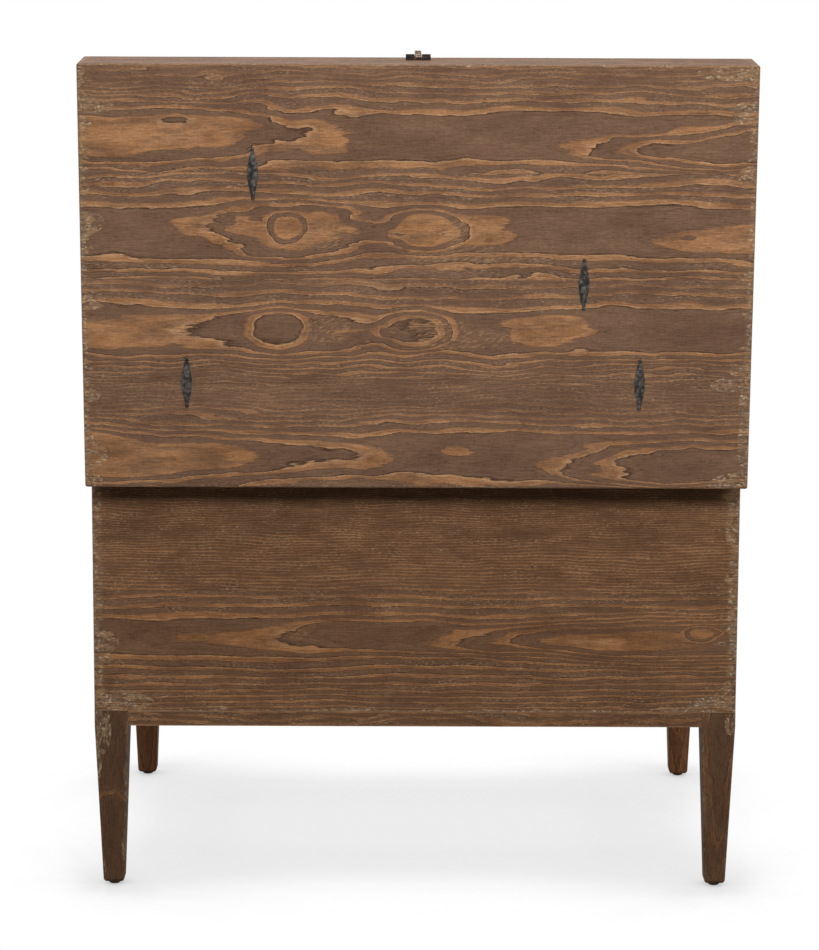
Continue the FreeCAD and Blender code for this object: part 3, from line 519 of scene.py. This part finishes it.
# Chest darker than the lid: partly its stain, partly painted shade for the light falling off downward
CHEST_TONE_AND_SHADE = (0.87, 0.81, 0.72)
CHEST_WEAR = 1.4
BACK_BOARDS = {
    "lower": {"heart": -56, "strip": 14, "spacings": (7.0, 7.0), "phase": 0.3, "bend": 18,
              "contrast": (0.9, 0.7),
              "figures": [(0, -56, 415, 30, 0.5), (20, -56, 240, 30, 0.6), (420, -60, 440, 42, 3.2)],
              "knots": [(338, -49, 28, 14, 1.2)],
              "ticks": [(-150, -52, 40, 12)]},
    "upper": {"heart": -60, "strip": 0, "spacings": (4.6, 4.6), "phase": 0.0, "bend": 16,
              "contrast": (0.85, 0.85)},
}
BACK_SCRAPES = [(-372, -62, 26, 16), (-345, -132, 46, 14), (350, -136, 36, 10), (-376, 20, 8, 14),
                (374, 70, 10, 18)]
for number, (side, outward) in enumerate(SIDES.items()):
    half_length = (side_x if outward.y else back_y) * MM
    scrapes = BACK_SCRAPES if side == "back" else ()
    for level in ("lower", "upper"):
        shift = 17.1 * number + (83 if level == "lower" else 131)
        board = dict(BACK_BOARDS[level])
        if side != "back":
            flame = half_length * 0.5 * math.sin(shift)
            eye = half_length * 0.6 * math.cos(shift)
            board["figures"] = [(flame, board["heart"], half_length * 0.7, 30, 1.3),
                                (eye, board["heart"], 60, 22, 1.4)]
        give(stained_pine("stained_pine_%s_%s" % (side, level), Z_AXIS.cross(outward), outward,
                          face_middle(outward, seam_z, joint_z), board,
                          box_edge(half_length, WALL_HALF_HEIGHT), shift, CHEST_TONE_AND_SHADE, CHEST_WEAR, scrapes),
             "%s_board_%s" % (side, level))


# Hinges: three butt hinges of pressed brass with an antique dip, let in flush.
# Rubbing has brought the brass back on its high spots.

HINGES = ("hinge_left", "hinge_middle", "hinge_right")
give(patinated_metal("antique_brass", "#8E7443", "#4E3F28", 3.0, 1.0, 0.38, 0.06),
     *[hinge + part for hinge in HINGES for part in ("_chest_leaf", "_lid_leaf", "_pin")])


# Lid: four pine boards glued edge to edge over four rims, brushed, stained and scraped like the chest.
# The two middle boards were cut one after the other from one log, so they show the same pair of knots.

hinge = next(joint for joint in frame["joints"] if joint["name"] == "lid_hinge")
pin = Vector(hinge["pos_m"])
open_angle = math.radians(hinge["range_deg"][1])
lid_opening = Matrix.Translation(pin) @ Matrix.Rotation(-open_angle, 4, "X") @ Matrix.Translation(-pin)
lid_closing = lid_opening.inverted()


def closed_corners(name):
    """The lowest and highest corners of a lid piece with the lid closed."""
    points = [lid_closing @ vertex.co for vertex in nodes[name].data.vertices]
    return [Vector([pick(point[axis] for point in points) for axis in range(3)]) for pick in (min, max)]


lid_top_z = closed_corners("lid_board_1")[1].z
lid_low_z = closed_corners("lid_rim_front")[0].z
lid_turn = lid_opening.to_3x3()
lid_outward = lid_turn @ Z_AXIS
lid_middle = lid_opening @ Vector((0, 0, lid_top_z))
LID_HALF_DEPTH = back_y * MM
LID_BOARDS = {
    1: {"heart": -205, "strip": 20, "spacings": (7.0, 4.4), "phase": 0.3, "contrast": (1.0, 0.4),
        "figures": [(-391, -207, 400, 50, 1.5), (-66, -208, 56, 26, 0.35), (48, -199, 34, 12, 0.5),
                    (400, -218, 315, 40, 2.0)]},
    2: {"heart": -60, "strip": 18, "spacings": (4.0, 7.3), "phase": 0.3, "contrast": (1.0, 0.45),
        "figures": [(-330, -62, 120, 28, 0.45), (-150, -60, 150, 42, 0.85), (-66, -62, 42, 20, 0.5),
                    (148, -60, 75, 30, 0.5)],
        "knots": [(-158, -58, 52, 34, 0.95), (-2, -58, 58, 34, 1.7)],
        "ticks": [(-105, -56, 50, 30), (30, -62, 60, 30), (80, -70, 60, 16)]},
    3: {"heart": 56, "strip": 19, "spacings": (7.5, 7.5), "phase": 0.3, "contrast": (1.0, 0.9),
        "figures": [(-135, 57, 110, 48, 1.3), (-230, 57, 62, 22, 0.5), (72, 57, 42, 28, 0.5),
                    (-50, 53, 34, 18, 0.4), (350, 47, 125, 22, 0.5)],
        "knots": [(-147, 59, 30, 23, 1.15), (8, 57, 60, 36, 1.45), (302, 50, 12, 4, 0.7)],
        "ticks": [(-105, 52, 50, 30), (62, 52, 56, 34), (60, 26, 150, 16)]},
    4: {"heart": 164, "strip": 19, "spacings": (7.5, 5.6), "phase": 0.3, "contrast": (1.0, 0.5),
        "figures": [(-317, 174, 224, 58, 1.6), (-108, 164, 56, 34, 0.45), (-270, 184, 40, 12, 0.25),
                    (425, 150, 300, 40, 2.0)]},
}
# Rims a touch darker than the lid boards: painted shade against the light on their upturned faces
LID_RIM_TONE_AND_SHADE = (0.92, 0.91, 0.91)
LID_SHIFTS = {1: 203.0, 2: 217.0, 3: 218.0, 4: 241.0}
LID_SCRAPES = [(-358, 197, 26, 10), (-372, 65, 24, 14), (-368, -25, 20, 12), (-372, -132, 14, 12),
               (-368, -205, 16, 14), (-372, -236, 14, 10), (364, 190, 16, 16), (370, 120, 12, 12),
               (345, 234, 46, 9), (368, -104, 14, 9), (352, -121, 24, 10), (376, -165, 9, 70),
               (360, -236, 30, 12)]
for number, board in LID_BOARDS.items():
    give(stained_pine("stained_pine_lid_%d" % number, -X_AXIS, lid_outward, lid_middle, board,
                      box_edge(side_x * MM, LID_HALF_DEPTH), LID_SHIFTS[number], scrapes=LID_SCRAPES),
         "lid_board_%d" % number)

for number, (side, outward) in enumerate(SIDES.items()):
    half_length = (side_x if outward.y else back_y) * MM
    shift = 23.9 * number + 301
    middle = lid_opening @ face_middle(outward, lid_low_z, lid_top_z)
    board = {"heart": -70, "strip": 0, "spacings": (8.0, 8.0), "phase": 0.0, "contrast": (0.7, 0.7)}
    edge = box_edge(half_length, (lid_top_z - lid_low_z) * MM / 2)
    give(stained_pine("stained_pine_lid_rim_" + side, lid_turn @ Z_AXIS.cross(outward), lid_turn @ outward,
                      middle, board, edge, shift, LID_RIM_TONE_AND_SHADE), "lid_rim_" + side)


# Iron diamonds: forged dogs that bridge the board joints, hammered on top, with a knob at each point.
# Two square prongs underneath are driven into the boards on either side of the joint.

DIAMOND_HALF_LENGTH = 0.0278
DIAMOND_HALF_WIDTH = 0.0062
DIAMOND_TIP_WIDTH = 0.0011
DIAMOND_RIM = 0.0012
DIAMOND_HEIGHT = 0.0030
DIAMOND_SUNK = 0.0004
OUTLINE_BOW = 1.4
RIDGE_BOW = 1.5
DENT_DEPTH = 0.0014
DENTS_ACROSS = 1.4
DENTS_ALONG = 6.0
EDGE_WOBBLE = 0.12
WOBBLES_ALONG = 9.0
KNOB_RADIUS = 0.0021
KNOB_RISE = 0.0004
KNOB_SHAPE = (1, 1.15, 0.9, 1)
PRONG_SIDE = 0.0025
PRONG_LENGTH = 0.014
PRONG_SPACING = 0.036

wrought_iron = patinated_metal("hammered_wrought_iron", "#585450", "#24211F", 4.5, 0.15, 0.5, 0.15)


def hammered_diamond(name, seed):
    """One diamond on the closed lid: a hipped plate with hammer dents, knobs at its points and prongs."""
    low, high = closed_corners(name)
    middle = Vector(((low.x + high.x) / 2, (low.y + high.y) / 2, lid_top_z))
    mesh = bmesh.new()
    bmesh.ops.create_grid(mesh, x_segments=22, y_segments=90, size=1)
    for vertex in mesh.verts:
        side, end = vertex.co.x, vertex.co.y
        blow = noise.noise(Vector((side * DENTS_ACROSS, end * DENTS_ALONG, seed)))
        one_side = 0.5 + 0.4 * (side > 0)
        wobble = 1 + EDGE_WOBBLE * noise.noise(Vector((one_side, end * WOBBLES_ALONG, seed)))
        swell = (1 - abs(end) ** OUTLINE_BOW) * wobble
        half_width = DIAMOND_TIP_WIDTH + (DIAMOND_HALF_WIDTH - DIAMOND_TIP_WIDTH) * swell
        hip = DIAMOND_RIM + (DIAMOND_HEIGHT - DIAMOND_RIM) * (1 - abs(side)) * (1 - abs(end) ** RIDGE_BOW)
        dent = DENT_DEPTH * max(0.0, blow + 0.1) * (1 - side * side)
        vertex.co = (side * half_width, end * DIAMOND_HALF_LENGTH, hip - dent)
    skirt = bmesh.ops.extrude_face_region(mesh, geom=mesh.faces[:])["geom"]
    for vertex in skirt:
        if isinstance(vertex, bmesh.types.BMVert):
            vertex.co.z = -DIAMOND_SUNK
    for end in (-1, 1):
        knob_place = (Matrix.Translation((0, end * DIAMOND_HALF_LENGTH, KNOB_RISE))
                      @ Matrix.Diagonal(KNOB_SHAPE))
        bmesh.ops.create_uvsphere(mesh, u_segments=20, v_segments=12, radius=KNOB_RADIUS, matrix=knob_place)
        prong_place = (Matrix.Translation((0, end * PRONG_SPACING / 2, -PRONG_LENGTH / 2))
                       @ Matrix.Diagonal((PRONG_SIDE, PRONG_SIDE, PRONG_LENGTH, 1)))
        bmesh.ops.create_cube(mesh, size=1, matrix=prong_place)
    bmesh.ops.transform(mesh, matrix=lid_opening @ Matrix.Translation(middle), verts=mesh.verts)
    bmesh.ops.recalc_face_normals(mesh, faces=mesh.faces)
    for face in mesh.faces:
        face.smooth = True
    data = bpy.data.meshes.new("hammered_" + name)
    mesh.to_mesh(data)
    mesh.free()
    data.materials.append(wrought_iron)
    piece = bpy.data.objects.new("hammered_" + name, data)
    bpy.context.scene.collection.objects.link(piece)
    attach(piece, "lid")
    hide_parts(name)


for number in (1, 2, 3, 4):
    hammered_diamond("iron_diamond_%d" % number, number * 3.7)


# Latch: a bronze bar between two lugs, the slotted strap that swings on it, and the staple in the chest.
# Cast bronze gone nearly black on the lugs, partly dark patina and partly painted shade of the dark
# under them; rubbed brown where the strap is handled.

give(patinated_metal("black_bronze_and_shade", "#3A2F26", "#0F0D0B", 2.5, 0.4, 0.45, 0.08), "latch_bar",
     "latch_staple")
give(patinated_metal("brown_bronze", "#9A8672", "#57493B", 2.5, 0.6, 0.42, 0.05), "latch_strap")


# Studio: a white sweep, one large soft light above the back of the table, and one further off in front.
# The camera sees the sweep pure white, but for an even grey shade where the table closes it in.

FLOOR_HALF = 6.0
KEY_PLACE = Vector((-0.2, 1.9, 1.3))
KEY_POWER = 23.5
FRONT_PLACE = Vector((0.5, -1.7, 2.6))
FRONT_POWER = 32.0
SOFTBOX_SIZE = (2.2, 0.34)
AIM = Vector((0, 0.1, 0.6))
AMBIENT_LOW = 0.0
AMBIENT_HIGH = 1.1
AMBIENT_RISE = 0.25
SWEEP_BOUNCE = "#6C6C6C"
WHITE = "#FFFFFF"
SHADE_REACH = 0.25
SHADE_STRENGTH = 0.82
CONTACT_SHADE_STRENGTH = 0.7

floor_mesh = bmesh.new()
bmesh.ops.create_grid(floor_mesh, x_segments=1, y_segments=1, size=FLOOR_HALF)
floor_data = bpy.data.meshes.new("studio_floor")
floor_mesh.to_mesh(floor_data)
floor_mesh.free()
floor = bpy.data.objects.new("studio_floor", floor_data)
bpy.context.scene.collection.objects.link(floor)


def picture_rays(tree):
    """One for the rays that draw the picture, straight or by way of metal or glass, and 0 for the rest."""
    paths = add(tree, "LightPath", output=None)
    seen = add(tree, "Math", (paths.outputs["Is Camera Ray"], paths.outputs["Is Glossy Ray"]),
               operation="MAXIMUM")
    return add(tree, "Math", (seen, paths.outputs["Is Transmission Ray"]), operation="MAXIMUM")


sweep, tree = new_finish("white_paper_sweep")
seen = picture_rays(tree)
bounce = add(tree, "BsdfDiffuse", {"Color": linear(SWEEP_BOUNCE)})
# For the camera the grey shade is painted from ambient occlusion, darker still in a painted contact shade
openness = add(tree, "AmbientOcclusion", {"Distance": SHADE_REACH}, output="AO", samples=32)
shade = add(tree, "MapRange", {"Value": openness, "From Min": 0.8, "From Max": 0.91,
                               "To Min": SHADE_STRENGTH, "To Max": 1.0}, interpolation_type="SMOOTHSTEP")
contact_shade = add(tree, "MapRange", {"Value": openness, "From Min": 0.3, "From Max": 0.72,
                                 "To Min": CONTACT_SHADE_STRENGTH, "To Max": 1.0})
shade = add(tree, "Math", (shade, contact_shade), operation="MULTIPLY")
paper = add(tree, "Emission", {"Color": linear(WHITE), "Strength": shade})
shown = add(tree, "MixShader", (seen, bounce, paper))
add(tree, "OutputMaterial", {"Surface": shown}, output=None)
floor_data.materials.append(sweep)

world = bpy.data.worlds.new("white_studio")
world.use_nodes = True
world.node_tree.nodes.clear()
tree = world.node_tree
seen = picture_rays(tree)
toward = add(tree, "TexCoord", output="Generated")
toward = add(tree, "SeparateXYZ", (toward,), output=None)
ambient = add(tree, "MapRange", {"Value": toward.outputs[2], "From Min": AMBIENT_RISE,
                                 "To Min": AMBIENT_LOW, "To Max": AMBIENT_HIGH})
soft = add(tree, "Background", {"Color": linear(WHITE), "Strength": ambient})
white = add(tree, "Background", {"Color": linear(WHITE), "Strength": 1.0})
shown = add(tree, "MixShader", (seen, soft, white))
add(tree, "OutputWorld", {"Surface": shown}, output=None)
bpy.context.scene.world = world
bpy.context.scene.view_settings.view_transform = "Standard"


def softbox(name, place, power):
    """A rectangular area light aimed at the table."""
    light = bpy.data.lights.new(name, "AREA")
    light.shape = "RECTANGLE"
    light.size, light.size_y = SOFTBOX_SIZE
    light.energy = power
    lamp = bpy.data.objects.new(name, light)
    lamp.location = place
    lamp.rotation_euler = (AIM - place).to_track_quat("-Z", "Y").to_euler()
    lamp.visible_camera = False
    bpy.context.scene.collection.objects.link(lamp)


softbox("key_softbox", KEY_PLACE, KEY_POWER)
softbox("front_softbox", FRONT_PLACE, FRONT_POWER)


# Camera: a long lens behind the table, a little above its lid, tipped down.
# Its place was found by fitting the table's edges in the photograph, whose frame is 819 by 950 pixels.

FRAME_WIDTH, FRAME_HEIGHT = 819, 950
FOCAL_PIXELS = 2806.0
CENTRE_PIXEL = (405.5, 355.0)
CAMERA_PLACE = Vector((0.01899, 3.47907, 1.12851))
TURN, TIP, ROLL = 0.001857, 0.147861, -0.003778

ahead = Vector((-math.sin(TURN) * math.cos(TIP), -math.cos(TURN) * math.cos(TIP), -math.sin(TIP)))
level = Vector((-math.cos(TURN), math.sin(TURN), 0))
down = ahead.cross(level)
image_right = math.cos(ROLL) * level + math.sin(ROLL) * down
image_down = math.cos(ROLL) * down - math.sin(ROLL) * level
lens = bpy.data.cameras.new("photo_camera")
lens.sensor_fit = "HORIZONTAL"
lens.lens = FOCAL_PIXELS * lens.sensor_width / FRAME_WIDTH
lens.shift_x = (FRAME_WIDTH / 2 - CENTRE_PIXEL[0]) / FRAME_WIDTH
lens.shift_y = (CENTRE_PIXEL[1] - FRAME_HEIGHT / 2) / FRAME_WIDTH
camera = bpy.data.objects.new("photo_camera", lens)
camera_turn = Matrix((image_right, -image_down, -ahead)).transposed()
camera.matrix_world = Matrix.Translation(CAMERA_PLACE) @ camera_turn.to_4x4()
bpy.context.scene.collection.objects.link(camera)
bpy.context.scene.camera = camera
